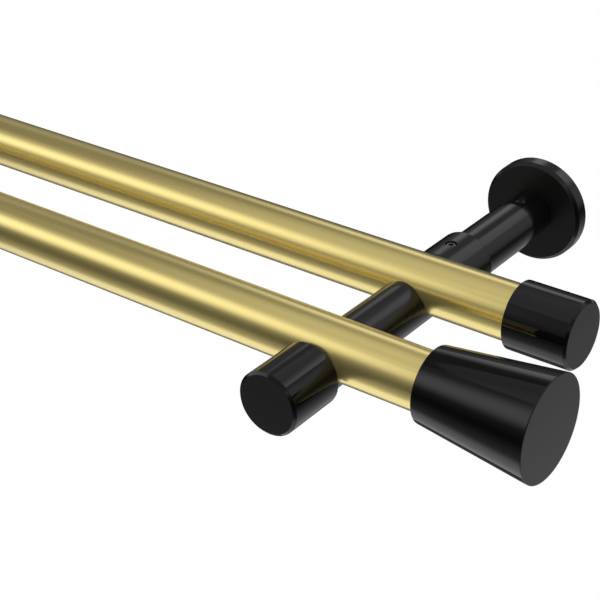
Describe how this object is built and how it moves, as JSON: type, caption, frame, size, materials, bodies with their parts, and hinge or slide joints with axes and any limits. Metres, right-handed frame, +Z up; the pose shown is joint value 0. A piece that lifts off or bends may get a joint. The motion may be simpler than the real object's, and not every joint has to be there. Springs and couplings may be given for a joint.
{
  "type": "double curtain pole",
  "caption": "Double curtain pole: parallel brass tubes carried in black turned wall brackets, with flared finials on the front pole and plain round caps on the rear pole.",
  "frame": {"origin": "on the wall plane, midway between the brackets, at the height of the arms' axis", "axes": "+X along the poles, -Y from the wall into the room, +Z up"},
  "size_m": [1.0406, 0.1667, 0.0425],
  "materials": {
    "brass_tube": "satin brass, drawn lengthwise",
    "black_bracket_metal": "black lacquer with a soft gloss",
    "zinc_plated_steel": "bright zinc",
    "black_screw_steel": "black oxide"
  },
  "bodies": {
    "root": {"front_pole": "brass_tube", "rear_pole": "brass_tube", "wall_plate_right": "zinc_plated_steel", "wall_plate_left": "zinc_plated_steel", "wall_spigot_right": "zinc_plated_steel", "wall_spigot_left": "zinc_plated_steel", "rosette_right": "black_bracket_metal", "rosette_left": "black_bracket_metal", "arm_tube_right": "black_bracket_metal", "arm_tube_left": "black_bracket_metal", "sleeve_right": "black_bracket_metal", "sleeve_left": "black_bracket_metal", "saddle_bar_right": "black_bracket_metal", "saddle_bar_left": "black_bracket_metal", "front_cap_right": "black_bracket_metal", "front_cap_left": "black_bracket_metal", "end_cap_right": "black_bracket_metal", "end_cap_left": "black_bracket_metal", "finial_right": "black_bracket_metal", "finial_left": "black_bracket_metal", "arm_set_screws": "black_screw_steel", "pole_set_screws": "black_screw_steel", "finial_set_screws": "black_screw_steel", "end_cap_set_screws": "black_screw_steel"}
  },
  "joints": []
}
